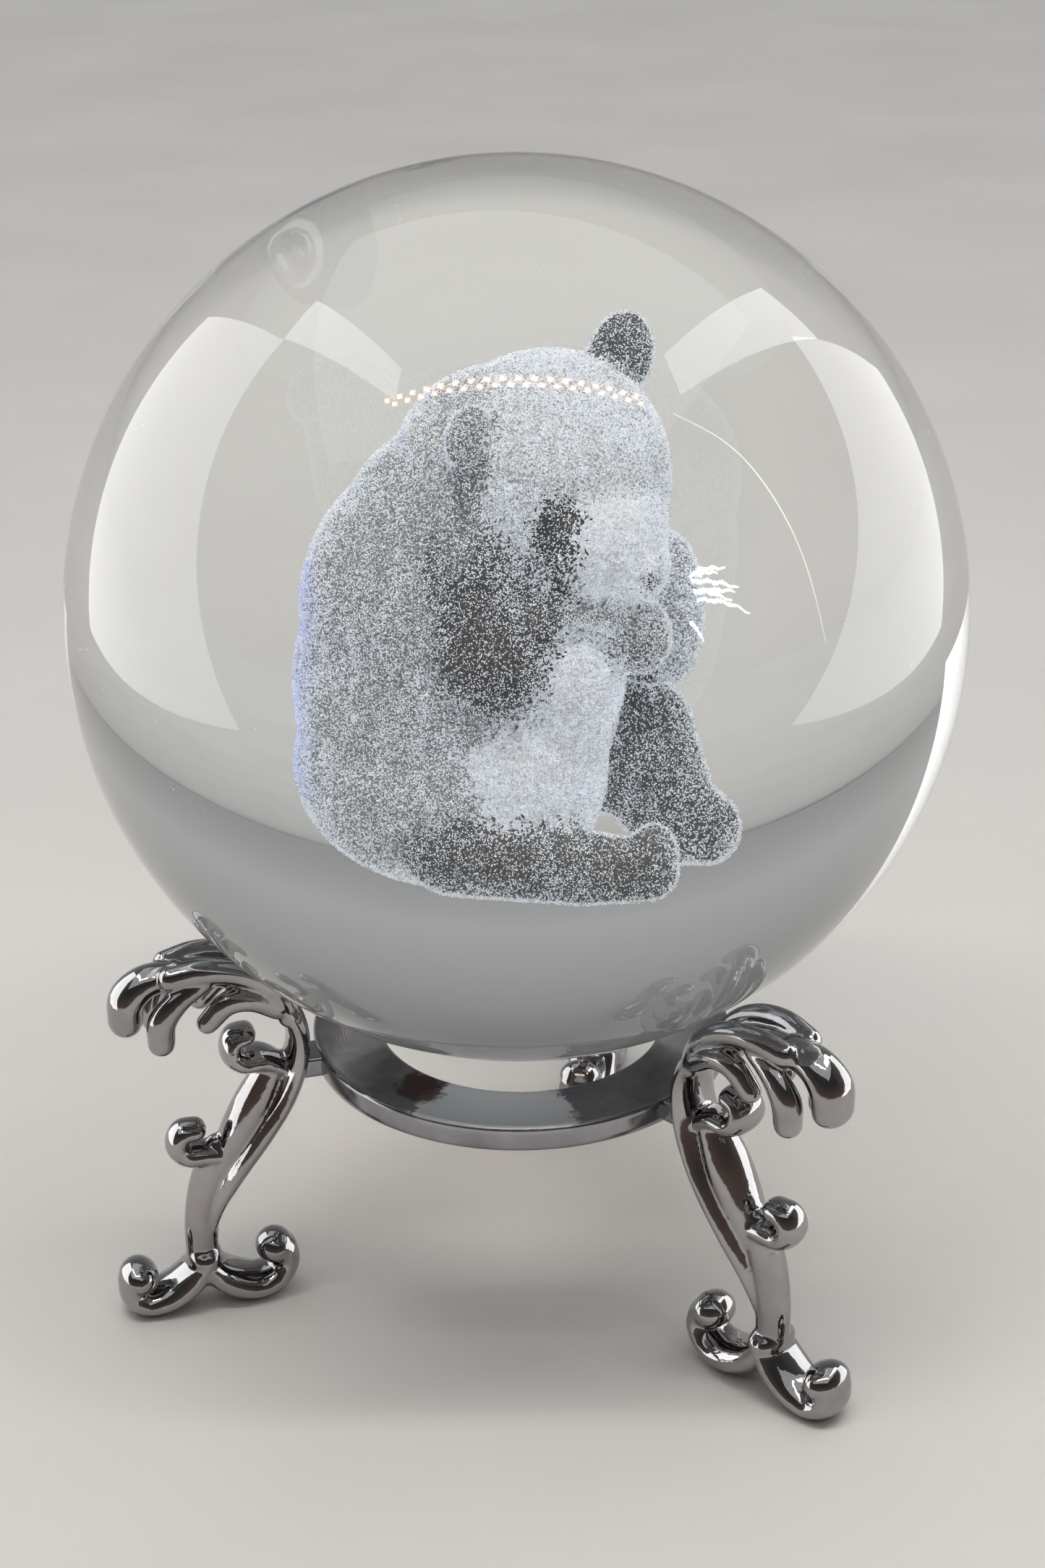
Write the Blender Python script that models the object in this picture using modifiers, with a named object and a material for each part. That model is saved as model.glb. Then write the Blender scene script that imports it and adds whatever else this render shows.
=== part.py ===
"""Crystal ball on a three-legged scroll stand.

An 80 mm solid glass ball rests on the leaf-shaped tops of three cast legs.
A flat ring ties the legs together under the ball: three lugs on its rim sit
in mortises in the legs.  Z is up, the origin is on the floor under the
middle of the ball, and one leg points to the back, along +Y.
"""
import math

import bmesh
import bpy
from mathutils import Matrix, Vector

MM = 0.001

# Driving dimensions, in millimetres.
BALL_RADIUS = 40.0
BALL_CENTRE_Z = 68.0
BALL_SEGMENTS = 48
BALL_RINGS = 24

RING_OUTER_RADIUS = 20.0
RING_INNER_RADIUS = 13.4
RING_TOP_Z = 26.4
RING_THICKNESS = 2.4
RING_CHAMFER = 0.3
RING_STEPS = 72

LUG_WIDTH = 3.7
LUG_HEIGHT = 2.0
LUG_ROOT_RADIUS = 18.5
LUG_TIP_RADIUS = 22.4
FIT_GAP = 0.3

LEG_AZIMUTHS = {"leg_rear": 90.0, "leg_left": 210.0, "leg_right": 330.0}

TUBE_SIDES_RESOLUTION = 2
SAMPLES_PER_SPAN = 2
TIP_ANGLES = (35.0, 65.0)

# The leg is a casting built up from strokes.  A stroke is a rounded bar that
# follows a smooth line in the leg's own frame: out from the axis, sideways
# and up, then the bar's half thickness there.  "flare" is how many times
# wider than thick the bar is.  "pair" strokes come once on each side.
LEG_STROKES = {
    "stem_band": {
        "flare": 2.5,
        "line": [(30.0, 0, 11.8, 1.2), (28.0, 0, 15.6, 1.3), (25.7, 0, 19.1, 1.35),
                 (23.5, 0, 22.3, 1.25), (22.1, 0, 25.6, 1.15), (21.8, 0, 28.6, 1.1),
                 (22.7, 0, 31.2, 1.15), (24.5, 0, 33.0, 1.1), (26.6, 0, 33.7, 0.9)]},
    "stem_core": {
        "flare": 1.35,
        "line": [(29.8, 0, 15.2, 1.3), (27.9, 0, 18.6, 1.75), (26.3, 0, 21.6, 1.8),
                 (24.6, 0, 24.8, 1.4)]},
    "upper_volute": {
        "flare": 2.1,
        "line": [(23.4, 0, 25.2, 0.9), (25.2, 0, 26.3, 1.05), (27.0, 0, 26.4, 1.15),
                 (28.1, 0, 27.3, 1.15), (27.9, 0, 28.7, 1.0), (26.6, 0, 29.1, 0.9)]},
    "lower_stem": {
        "flare": 1.0,
        "line": [(32.0, 0, 3.8, 1.6), (32.1, 0, 6.6, 1.6), (31.9, 0, 9.6, 1.7),
                 (31.3, 0, 12.6, 1.8), (30.5, 0, 15.4, 1.7), (30.0, 0, 17.2, 1.3)]},
    "middle_volute": {
        "flare": 1.6,
        "line": [(29.6, 0, 16.6, 1.1), (31.3, 0, 16.8, 1.15), (32.9, 0, 16.9, 1.15),
                 (33.8, 0, 18.0, 1.15), (33.3, 0, 19.3, 1.1), (31.9, 0, 19.5, 1.0)]},
    "outer_foot": {
        "flare": 2.4,
        "line": [(31.6, 0, 4.8, 1.2), (33.3, 0, 2.9, 1.2), (35.4, 0, 1.4, 1.2),
                 (37.6, 0, 0.9, 1.15), (39.2, 0, 1.8, 1.1), (39.5, 0, 3.4, 1.0)]},
    "inner_foot": {
        "flare": 2.3,
        "line": [(32.4, 0, 4.6, 1.2), (30.7, 0, 2.8, 1.25), (28.8, 0, 1.5, 1.35),
                 (26.6, 0, 1.1, 1.3), (24.7, 0, 1.9, 1.15), (23.8, 0, 3.4, 1.05),
                 (24.0, 0, 4.8, 1.0)]},
    "ridge": {
        "flare": 1.0,
        "pair": True,
        "line": [(22.9, 1.8, 31.0, 0.9), (23.8, 2.0, 33.4, 1.0), (25.4, 2.2, 35.4, 1.05),
                 (27.8, 2.2, 36.7, 1.1), (30.6, 2.1, 37.1, 1.15), (33.4, 1.7, 36.6, 1.2)]},
    "middle_lobe": {
        "flare": 1.0,
        "pair": True,
        "line": [(30.4, 2.2, 36.0, 0.8), (32.8, 2.5, 34.8, 1.1), (34.5, 2.6, 32.9, 1.35),
                 (34.7, 2.4, 30.6, 1.3)]},
    "near_lobe": {
        "flare": 1.0,
        "pair": True,
        "line": [(23.9, 2.1, 32.2, 0.95), (26.2, 2.4, 33.8, 1.15), (28.5, 2.5, 33.8, 1.15),
                 (30.4, 2.4, 32.0, 1.05)]},
    "leaf_web": {
        "flare": 2.0,
        "line": [(24.0, 0, 32.6, 0.9), (26.6, 0, 34.8, 1.0), (30.0, 0, 35.9, 1.0),
                 (33.6, 0, 36.0, 1.1)]},
    "tip_lobe": {
        "flare": 1.35,
        "line": [(33.2, 0, 36.2, 1.3), (35.6, 0, 35.8, 1.5), (37.3, 0, 34.3, 1.7),
                 (37.6, 0, 32.3, 1.65)]},
}

# Rolled ends of the feet: centre and half sizes, out, sideways and up.
FOOT_ROLLS = {
    "outer_roll": ((38.5, 0.0, 4.1), (1.8, 2.6, 1.5)),
    "inner_roll": ((25.1, 0.0, 5.1), (1.8, 2.3, 1.65)),
}
ROLL_SEGMENTS = 14
ROLL_RINGS = 8

FLOOR_CUT_DEPTH = 4.0
FLOOR_CUT_WIDTH = 120.0


def clear_scene():
    for obj in list(bpy.data.objects):
        bpy.data.objects.remove(obj, do_unlink=True)


def new_collection(name):
    collection = bpy.data.collections.new(name)
    bpy.context.scene.collection.children.link(collection)
    return collection


def make_material(name, colour, metallic, roughness, transmission=0.0, ior=1.45):
    material = bpy.data.materials.new(name)
    material.use_nodes = True
    shader = material.node_tree.nodes["Principled BSDF"]
    shader.inputs["Base Color"].default_value = (*colour, 1.0)
    shader.inputs["Metallic"].default_value = metallic
    shader.inputs["Roughness"].default_value = roughness
    shader.inputs["Transmission Weight"].default_value = transmission
    shader.inputs["IOR"].default_value = ior
    material.diffuse_color = (*colour, 1.0)
    return material


def link_mesh(name, mesh, collection):
    obj = bpy.data.objects.new(name, mesh)
    collection.objects.link(obj)
    return obj


def bmesh_object(name, collection, build):
    mesh = bpy.data.meshes.new(name)
    bm = bmesh.new()
    build(bm)
    bm.to_mesh(mesh)
    bm.free()
    return link_mesh(name, mesh, collection)


def as_cutter(obj):
    obj.hide_render = True
    obj.display_type = "WIRE"
    return obj


def boolean(obj, operand, operation):
    modifier = obj.modifiers.new(operand.name, "BOOLEAN")
    modifier.operation = operation
    modifier.solver = "EXACT"
    modifier.object = operand
    return modifier


def evaluated_mesh(obj):
    graph = bpy.context.evaluated_depsgraph_get()
    graph.update()
    return bpy.data.meshes.new_from_object(obj.evaluated_get(graph))


def smooth_line(points, samples):
    """Catmull-Rom line through the points, with its half thickness."""
    values = [Vector(point) for point in points]
    first = values[0] * 2.0 - values[1]
    last = values[-1] * 2.0 - values[-2]
    padded = [first, *values, last]
    line = []
    for i in range(1, len(padded) - 2):
        before, start, end, after = padded[i - 1:i + 3]
        for step in range(samples):
            t = step / samples
            line.append(0.5 * (2.0 * start
                               + (end - before) * t
                               + (2.0 * before - 5.0 * start + 4.0 * end - after) * t ** 2
                               + (3.0 * start - before - 3.0 * end + after) * t ** 3))
    line.append(values[-1])
    return line


def rounded_end(end, previous):
    """Extra points that close a bar's end like a fingertip."""
    place, radius = end.xyz, end.w
    direction = (place - previous.xyz).normalized()
    points = []
    for angle in TIP_ANGLES:
        along = radius * math.sin(math.radians(angle))
        thin = radius * math.cos(math.radians(angle))
        tip = place + direction * along
        points.append(Vector((*tip, thin)))
    return points


def stroke_line(stroke):
    line = smooth_line(stroke["line"], SAMPLES_PER_SPAN)
    head = rounded_end(line[0], line[1])
    tail = rounded_end(line[-1], line[-2])
    return [*reversed(head), *line, *tail]


def stroke_mesh(name, stroke, side):
    """One stroke as a closed mesh, its sideways width stretched by the flare."""
    flare = stroke["flare"]
    curve = bpy.data.curves.new(name, "CURVE")
    curve.dimensions = "3D"
    curve.bevel_depth = MM
    curve.bevel_resolution = TUBE_SIDES_RESOLUTION
    curve.use_fill_caps = True
    line = stroke_line(stroke)
    spline = curve.splines.new("POLY")
    spline.points.add(len(line) - 1)
    for point, value in zip(spline.points, line):
        out, sideways, up, radius = value
        point.co = (out * MM, side * sideways * MM / flare, up * MM, 1.0)
        point.radius = radius
    guide = bpy.data.objects.new(name, curve)
    bpy.context.scene.collection.objects.link(guide)
    mesh = evaluated_mesh(guide)
    mesh.name = name
    mesh.transform(guide.matrix_world)
    mesh.transform(Matrix.Diagonal((1.0, flare, 1.0, 1.0)))
    bpy.data.objects.remove(guide, do_unlink=True)
    weld_and_orient(mesh)
    return mesh


def weld_and_orient(mesh):
    bm = bmesh.new()
    bm.from_mesh(mesh)
    bmesh.ops.remove_doubles(bm, verts=bm.verts, dist=0.001 * MM)
    bmesh.ops.recalc_face_normals(bm, faces=bm.faces)
    bm.to_mesh(mesh)
    bm.free()


def roll_object(name, centre, half_sizes, collection):
    def build(bm):
        bmesh.ops.create_uvsphere(bm, u_segments=ROLL_SEGMENTS, v_segments=ROLL_RINGS, radius=MM)
        place = Matrix.Translation(Vector(centre) * MM)
        upright = Matrix.Rotation(math.radians(90.0), 4, "X")
        stretch = Matrix.Diagonal((*half_sizes, 1.0))
        bmesh.ops.transform(bm, matrix=place @ stretch @ upright, verts=bm.verts)
    return bmesh_object(name, collection, build)


def box_object(name, low, high, collection):
    def build(bm):
        bmesh.ops.create_cube(bm, size=1.0)
        size = Vector(high) - Vector(low)
        centre = (Vector(high) + Vector(low)) / 2.0
        matrix = Matrix.Translation(centre * MM) @ Matrix.Diagonal((*(size * MM), 1.0))
        bmesh.ops.transform(bm, matrix=matrix, verts=bm.verts)
    return bmesh_object(name, collection, build)


def lug_box(name, gap, tip_radius, collection):
    """The lug's own box, or with a gap the mortise around it."""
    middle = RING_TOP_Z - RING_THICKNESS / 2.0
    half_width = LUG_WIDTH / 2.0 + gap
    half_height = LUG_HEIGHT / 2.0 + gap
    low = (LUG_ROOT_RADIUS, -half_width, middle - half_height)
    high = (tip_radius, half_width, middle + half_height)
    return box_object(name, low, high, collection)


def leg_mesh(cutters):
    """The casting: every stroke and roll in one body, mortised and cut flat."""
    bodies = []
    for name, stroke in LEG_STROKES.items():
        sides = (1, -1) if stroke.get("pair") else (1,)
        for side in sides:
            label = f"{name}_{'a' if side > 0 else 'b'}"
            bodies.append(link_mesh(label, stroke_mesh(label, stroke, side), cutters))
    for name, (centre, half_sizes) in FOOT_ROLLS.items():
        bodies.append(roll_object(name, centre, half_sizes, cutters))
    base = bodies[0]
    for body in bodies[1:]:
        boolean(base, body, "UNION")
    mortise = lug_box("mortise", FIT_GAP, LUG_TIP_RADIUS + FIT_GAP, cutters)
    boolean(base, mortise, "DIFFERENCE")
    half = FLOOR_CUT_WIDTH / 2.0
    floor = box_object("floor_cut", (-half, -half, -FLOOR_CUT_DEPTH), (half, half, 0.0), cutters)
    boolean(base, floor, "DIFFERENCE")
    mesh = evaluated_mesh(base)
    mesh.name = "leg"
    for body in [*bodies, mortise, floor]:
        bpy.data.objects.remove(body, do_unlink=True)
    return mesh


def shade_round(mesh, angle):
    mesh.shade_smooth()
    mesh.set_sharp_from_angle(angle=math.radians(angle))


def build_legs(collection, cutters, material):
    mesh = leg_mesh(cutters)
    mesh.materials.clear()
    mesh.materials.append(material)
    shade_round(mesh, 40.0)
    for name, azimuth in LEG_AZIMUTHS.items():
        leg = link_mesh(name, mesh, collection)
        leg.rotation_euler.z = math.radians(azimuth)


def ring_profile():
    """Cross-section of the ring, down its outer side and back up the bore."""
    top = RING_TOP_Z
    bottom = RING_TOP_Z - RING_THICKNESS
    c = RING_CHAMFER
    return [
        (RING_INNER_RADIUS + c, top),
        (RING_OUTER_RADIUS - c, top),
        (RING_OUTER_RADIUS, top - c),
        (RING_OUTER_RADIUS, bottom + c),
        (RING_OUTER_RADIUS - c, bottom),
        (RING_INNER_RADIUS + c, bottom),
        (RING_INNER_RADIUS, bottom + c),
        (RING_INNER_RADIUS, top - c),
    ]


def build_ring(collection, cutters, material):
    mesh = bpy.data.meshes.new("seat_ring")
    profile = ring_profile()
    points = [(radius * MM, 0.0, z * MM) for radius, z in profile]
    edges = [(i, (i + 1) % len(points)) for i in range(len(points))]
    mesh.from_pydata(points, edges, [])
    mesh.materials.append(material)
    ring = link_mesh("seat_ring", mesh, collection)
    screw = ring.modifiers.new("turn", "SCREW")
    screw.steps = RING_STEPS
    screw.render_steps = RING_STEPS
    screw.use_merge_vertices = True
    screw.merge_threshold = 0.00001
    for name, azimuth in LEG_AZIMUTHS.items():
        lug = as_cutter(lug_box("lug_" + name, 0.0, LUG_TIP_RADIUS, cutters))
        lug.rotation_euler.z = math.radians(azimuth)
        boolean(ring, lug, "UNION")
    return ring


def build_ball(collection, material):
    def build(bm):
        bmesh.ops.create_uvsphere(bm, u_segments=BALL_SEGMENTS, v_segments=BALL_RINGS,
                                  radius=BALL_RADIUS * MM)
    ball = bmesh_object("glass_ball", collection, build)
    ball.location.z = BALL_CENTRE_Z * MM
    ball.data.materials.append(material)
    ball.data.shade_smooth()
    return ball


def main():
    clear_scene()
    parts = new_collection("crystal_ball")
    cutters = new_collection("cutters")
    leg_chrome = make_material("leg_chrome", (0.36, 0.35, 0.36), 1.0, 0.08)
    ring_chrome = make_material("ring_chrome", (0.50, 0.50, 0.52), 1.0, 0.18)
    glass = make_material("clear_glass", (0.93, 0.96, 0.94), 0.0, 0.0, 1.0, 1.52)
    build_legs(parts, cutters, leg_chrome)
    build_ring(parts, cutters, ring_chrome)
    build_ball(parts, glass)


main()
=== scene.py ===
"""Looks for the crystal ball on its three-legged stand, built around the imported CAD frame.

Lengths in the tables are millimetres; the scene itself is in metres, Z up, in the part's own frame.
"""

import itertools
import math

import bmesh
import bpy
import numpy as np
from mathutils import Matrix, Quaternion, Vector


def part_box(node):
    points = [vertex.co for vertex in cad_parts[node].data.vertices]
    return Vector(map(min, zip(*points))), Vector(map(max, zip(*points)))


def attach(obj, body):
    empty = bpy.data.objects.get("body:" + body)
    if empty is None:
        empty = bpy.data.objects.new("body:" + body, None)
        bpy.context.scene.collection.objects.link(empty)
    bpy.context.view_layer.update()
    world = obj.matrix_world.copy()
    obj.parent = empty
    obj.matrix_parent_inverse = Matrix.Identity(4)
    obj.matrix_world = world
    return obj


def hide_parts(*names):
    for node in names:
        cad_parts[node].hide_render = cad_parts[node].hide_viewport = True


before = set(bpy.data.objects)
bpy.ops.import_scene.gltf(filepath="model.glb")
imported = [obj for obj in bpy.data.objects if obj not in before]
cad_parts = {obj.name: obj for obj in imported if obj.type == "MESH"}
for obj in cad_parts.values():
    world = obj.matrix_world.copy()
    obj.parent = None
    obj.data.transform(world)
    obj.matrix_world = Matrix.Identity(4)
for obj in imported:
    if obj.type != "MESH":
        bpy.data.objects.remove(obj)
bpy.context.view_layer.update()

MM = 0.001
SEED = 20817

# ---------------------------------------------------------------- camera
SENSOR_MM = 36.0
LENS_MM = 56.98893
CAMERA_DISTANCE_MM = 222.8
CAMERA_AZIMUTH = math.radians(14.84)
CAMERA_ELEVATION = math.radians(20.52)
CAMERA_YAW = math.radians(-0.093)
CAMERA_PITCH = math.radians(-3.954)
CAMERA_ROLL = math.radians(0.56)

# ---------------------------------------------------------------- the ball, from the frame
ball_low, ball_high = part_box("glass_ball")
BALL_CENTRE = (ball_low + ball_high) / 2
BALL_RADIUS = (ball_high.z - ball_low.z) / 2

# The camera-side frame: right, towards the camera and up, all seen from the ball.
RIGHT = Vector((math.cos(CAMERA_AZIMUTH), math.sin(CAMERA_AZIMUTH), 0.0))
TOWARDS = Vector((math.sin(CAMERA_AZIMUTH), -math.cos(CAMERA_AZIMUTH), 0.0))
UP = Vector((0.0, 0.0, 1.0))


def studio(right, towards, up):
    """A place in millimetres to the right of, in front of and above the floor's point under the ball."""
    return (RIGHT * right + TOWARDS * towards + UP * up) * MM


# ---------------------------------------------------------------- mesh helpers
SOFTENING = 0.5


def new_object(name, vertices, faces, smooth=True):
    """An object in the scene, made from points in metres and the faces between them."""
    mesh = bpy.data.meshes.new(name)
    mesh.from_pydata([tuple(v) for v in vertices], [], [tuple(f) for f in faces])
    mesh.validate()
    mesh.update()
    obj = bpy.data.objects.new(name, mesh)
    bpy.context.scene.collection.objects.link(obj)
    if smooth:
        mesh.polygons.foreach_set("use_smooth", [True] * len(mesh.polygons))
    return obj


def applied(obj):
    """Writes the modified mesh into the object and drops the modifiers."""
    graph = bpy.context.evaluated_depsgraph_get()
    mesh = bpy.data.meshes.new_from_object(obj.evaluated_get(graph))
    old = obj.data
    obj.modifiers.clear()
    obj.data = mesh
    mesh.name = obj.name
    bpy.data.meshes.remove(old)
    return obj


def catmull(points, steps):
    """A Catmull-Rom line through the points; every column is carried along."""
    p = np.asarray(points, float)
    p = np.vstack([2 * p[0] - p[1], p, 2 * p[-1] - p[-2]])
    out = []
    for a, b, c, d in zip(p, p[1:], p[2:], p[3:]):
        square = 2 * a - 5 * b + 4 * c - d
        cube = 3 * b - a - 3 * c + d
        for k in range(steps):
            t = k / steps
            out.append(0.5 * (2 * b + (c - a) * t + square * t * t + cube * t**3))
    out.append(p[-2])
    return np.array(out)


def dome(place, along, radius, steps):
    """Middles and radii of the rows that close a round end, from its rim outwards."""
    rows = []
    for k in range(1, steps + 1):
        angle = math.radians(90.0 * k / (steps + 0.5))
        rows.append((place + along * radius * math.sin(angle), radius * math.cos(angle)))
    return rows


def loft_faces(rows, sides, clockwise=False):
    """Faces between rows of points that each go round once, and a cap at either end.

    They point out if the rows run anticlockwise as seen from the last one, or clockwise with the flag.
    """
    faces = []
    for i in range(rows - 1):
        a, b = i * sides, (i + 1) * sides
        for j in range(sides):
            k = (j + 1) % sides
            faces.append((a + j, b + j, b + k, a + k) if clockwise else (a + j, a + k, b + k, b + j))
    first = range(sides)
    last = range((rows - 1) * sides, rows * sides)
    faces += [tuple(first), tuple(reversed(last))] if clockwise else [tuple(reversed(first)), tuple(last)]
    return faces


def oval(centre, half, rings=16, sides=24):
    """A closed round shape with its own half size along each axis."""
    vertices = [(centre[0], centre[1], centre[2] - half[2])]
    for i in range(1, rings):
        polar = math.pi * i / rings
        for j in range(sides):
            turn = 2 * math.pi * j / sides
            vertices.append((
                centre[0] + half[0] * math.sin(polar) * math.cos(turn),
                centre[1] + half[1] * math.sin(polar) * math.sin(turn),
                centre[2] - half[2] * math.cos(polar)))
    vertices.append((centre[0], centre[1], centre[2] + half[2]))
    top = len(vertices) - 1
    faces = []
    for j in range(sides):
        k = (j + 1) % sides
        faces.append((0, 1 + k, 1 + j))
        for i in range(rings - 2):
            a = 1 + i * sides
            faces.append((a + j, a + k, a + sides + k, a + sides + j))
        a = 1 + (rings - 2) * sides
        faces.append((a + j, a + k, top))
    return np.array(vertices), faces


def grown_together(name, parts, voxel_mm, smoothing):
    """One softened skin round all the parts, which are given in millimetres."""
    vertices, faces, start = [], [], 0
    for v, f in parts:
        vertices.append(np.asarray(v, float))
        faces += [tuple(start + i for i in face) for face in f]
        start += len(v)
    obj = new_object(name, np.vstack(vertices) * MM, faces)
    remesh = obj.modifiers.new("grow_together", "REMESH")
    remesh.mode = "VOXEL"
    remesh.voxel_size = voxel_mm * MM
    remesh.use_smooth_shade = True
    soften = obj.modifiers.new("soften", "SMOOTH")
    soften.factor = SOFTENING
    soften.iterations = smoothing
    return obj


# ---------------------------------------------------------------- cast leg
LINE_STEPS = 6
SECTION_SIDES = 20
END_STEPS = 5
LEG_VOXEL_MM = 0.17
LEG_SMOOTHING = 9
LEG_AZIMUTHS = {"leg_rear": 90.0, "leg_left": 210.0, "leg_right": 330.0}

# Each stroke: name, sideways flare, mirrored pair or not, and its points.
# Each point: out, sideways, up, half thickness.
LEG_STROKES = [
    ("stem_band", 2.5, False, [
        (31.2, 0, 8.6, 0.62), (30.2, 0, 11.8, 0.95), (28.1, 0, 15.6, 1.25),
        (25.7, 0, 19.1, 1.35), (23.5, 0, 22.3, 1.25), (22.1, 0, 25.6, 1.15), (21.8, 0, 28.6, 1.1),
        (22.7, 0, 31.2, 1.15), (24.5, 0, 33.0, 1.1), (26.6, 0, 33.7, 0.9)]),
    ("stem_core", 1.35, False, [
        (29.8, 0, 15.2, 1.3), (27.9, 0, 18.6, 1.75), (26.3, 0, 21.6, 1.8),
        (24.6, 0, 24.8, 1.4)]),
    ("upper_volute", 2.1, False, [
        (23.4, 0, 25.2, 0.9), (25.2, 0, 26.3, 1.05), (27.0, 0, 26.4, 1.15),
        (28.1, 0, 27.3, 1.15), (27.9, 0, 28.7, 1.0), (26.6, 0, 29.1, 0.9)]),
    ("lower_stem", 1.0, False, [
        (32.0, 0, 3.8, 1.6), (32.1, 0, 6.6, 1.6), (31.9, 0, 9.6, 1.7),
        (31.3, 0, 12.6, 1.8), (30.5, 0, 15.4, 1.7), (30.0, 0, 17.2, 1.3)]),
    ("middle_volute", 1.6, False, [
        (29.6, 0, 16.6, 1.1), (31.3, 0, 16.8, 1.15), (32.9, 0, 16.9, 1.15),
        (33.8, 0, 18.0, 1.15), (33.3, 0, 19.3, 1.1), (31.9, 0, 19.5, 1.0)]),
    ("outer_foot", 1.85, False, [
        (31.6, 0, 5.4, 1.35), (33.2, 0, 3.3, 1.5), (35.3, 0, 1.8, 1.5),
        (37.5, 0, 1.3, 1.4), (39.0, 0, 2.1, 1.3), (39.3, 0, 3.6, 1.15)]),
    ("inner_foot", 1.85, False, [
        (32.4, 0, 5.4, 1.35), (30.7, 0, 3.2, 1.5), (28.8, 0, 1.9, 1.55),
        (26.7, 0, 1.4, 1.45), (24.8, 0, 2.1, 1.3), (23.9, 0, 3.5, 1.2),
        (24.0, 0, 4.8, 1.1)]),
    ("ridge", 1.0, True, [
        (22.9, 1.8, 31.0, 0.9), (23.8, 2.0, 33.4, 1.0), (25.4, 2.2, 35.4, 1.05),
        (27.8, 2.2, 36.7, 1.1), (30.6, 2.1, 37.1, 1.15), (33.4, 1.7, 36.6, 1.2)]),
    ("middle_lobe", 1.0, True, [
        (30.4, 2.2, 36.0, 0.8), (32.8, 2.5, 34.8, 1.1), (34.5, 2.6, 32.9, 1.35),
        (34.7, 2.4, 30.6, 1.3)]),
    ("near_lobe", 1.0, True, [
        (23.9, 2.1, 32.2, 0.95), (26.2, 2.4, 33.8, 1.15), (28.5, 2.5, 33.8, 1.15),
        (30.4, 2.4, 32.0, 1.05)]),
    ("leaf_web", 2.0, False, [
        (24.0, 0, 32.6, 0.9), (26.6, 0, 34.8, 1.0), (30.0, 0, 35.9, 1.0),
        (33.6, 0, 36.0, 1.1)]),
    ("tip_lobe", 1.35, False, [
        (33.2, 0, 36.2, 1.3), (35.6, 0, 35.8, 1.5), (37.3, 0, 34.3, 1.7),
        (37.6, 0, 32.3, 1.65)]),
]
# The rolls of the two feet and the knot between them: centre, half sizes.
FOOT_ROLLS = [
    ((38.4, 0, 4.1), (1.9, 2.6, 1.6)), ((25.1, 0, 5.1), (1.9, 2.3, 1.7)),
    ((32.0, 0, 4.0), (1.9, 1.9, 2.3))]


def tube(points, flare):
    """A closed tube of oval section along the points, with domed ends."""
    line = catmull(points, LINE_STEPS)
    core, half = line[:, :3], line[:, 3]
    tangent = np.gradient(core, axis=0)
    tangent /= np.linalg.norm(tangent, axis=1)[:, None]
    rows = [(p, tangent[0], r) for p, r in reversed(dome(core[0], -tangent[0], half[0], END_STEPS))]
    rows += zip(core, tangent, half)
    rows += [(p, tangent[-1], r) for p, r in dome(core[-1], tangent[-1], half[-1], END_STEPS)]
    vertices = []
    for place, along, radius in rows:
        side = np.array((0.0, 1.0, 0.0))
        side = side - along * (side @ along)
        side /= np.linalg.norm(side)
        normal = np.cross(side, along)
        for j in range(SECTION_SIDES):
            turn = 2 * math.pi * j / SECTION_SIDES
            vertices.append(place + side * radius * flare * math.cos(turn) + normal * radius * math.sin(turn))
    return np.array(vertices), loft_faces(len(rows), SECTION_SIDES, clockwise=True)


def leg_parts():
    """Every stroke and roll of the leg, the paired ones on both sides."""
    parts = []
    for _, flare, paired, points in LEG_STROKES:
        for sign in (1, -1) if paired else (1,):
            rows = [(out, side * sign, up, half) for out, side, up, half in points]
            parts.append(tube(rows, flare))
    parts += [oval(centre, half) for centre, half in FOOT_ROLLS]
    return parts


def cast_leg():
    """The leg in its own radial plane, set to the CAD leg's reach and height."""
    leg = applied(grown_together("leg_pattern", leg_parts(), LEG_VOXEL_MM, LEG_SMOOTHING))
    low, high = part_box("leg_rear")
    reach = [v.co.x for v in leg.data.vertices]
    inner, outer = min(reach), max(reach)
    top = max(v.co.z for v in leg.data.vertices)
    for v in leg.data.vertices:
        v.co.x = low.y + (v.co.x - inner) / (outer - inner) * (high.y - low.y)
        v.co.z = max(v.co.z, 0.0) * high.z / top
    return leg


# ---------------------------------------------------------------- seat ring
RING_STEPS = 288
# Radius, and height above the CAD ring's underside.
RING_PROFILE = [
    (13.4, 2.1), (13.4, 0.3), (13.48, 0.1), (13.7, 0.0), (19.6, 0.0), (19.85, 0.08),
    (19.97, 0.3), (20.0, 0.7), (20.0, 1.7), (19.98, 2.1), (19.9, 2.28), (19.72, 2.38),
    (19.5, 2.4), (19.2, 2.36), (18.9, 2.33), (14.0, 2.33), (13.75, 2.38), (13.55, 2.34)]
LUG_WIDTH_MM = 3.7
LUG_HEIGHT_MM = 2.0
LUG_FROM_MM = 18.5
LUG_TO_MM = 22.4
LUG_BEVEL_MM = 0.35


def add_lugs(mesh, height):
    """A bevelled lug toward each leg, at the given height."""
    length = (LUG_TO_MM - LUG_FROM_MM) * MM
    for azimuth in LEG_AZIMUTHS.values():
        cube = bmesh.ops.create_cube(mesh, size=1.0)["verts"]
        place = (
            Matrix.Rotation(math.radians(azimuth), 4, "Z")
            @ Matrix.Translation(((LUG_TO_MM + LUG_FROM_MM) / 2 * MM, 0, height))
            @ Matrix.Diagonal((length, LUG_WIDTH_MM * MM, LUG_HEIGHT_MM * MM, 1)))
        bmesh.ops.transform(mesh, matrix=place, verts=cube)
        edges = list(dict.fromkeys(e for v in cube for e in v.link_edges))
        bmesh.ops.bevel(mesh, geom=edges, offset=LUG_BEVEL_MM * MM, segments=3, affect="EDGES", profile=0.6)


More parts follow.
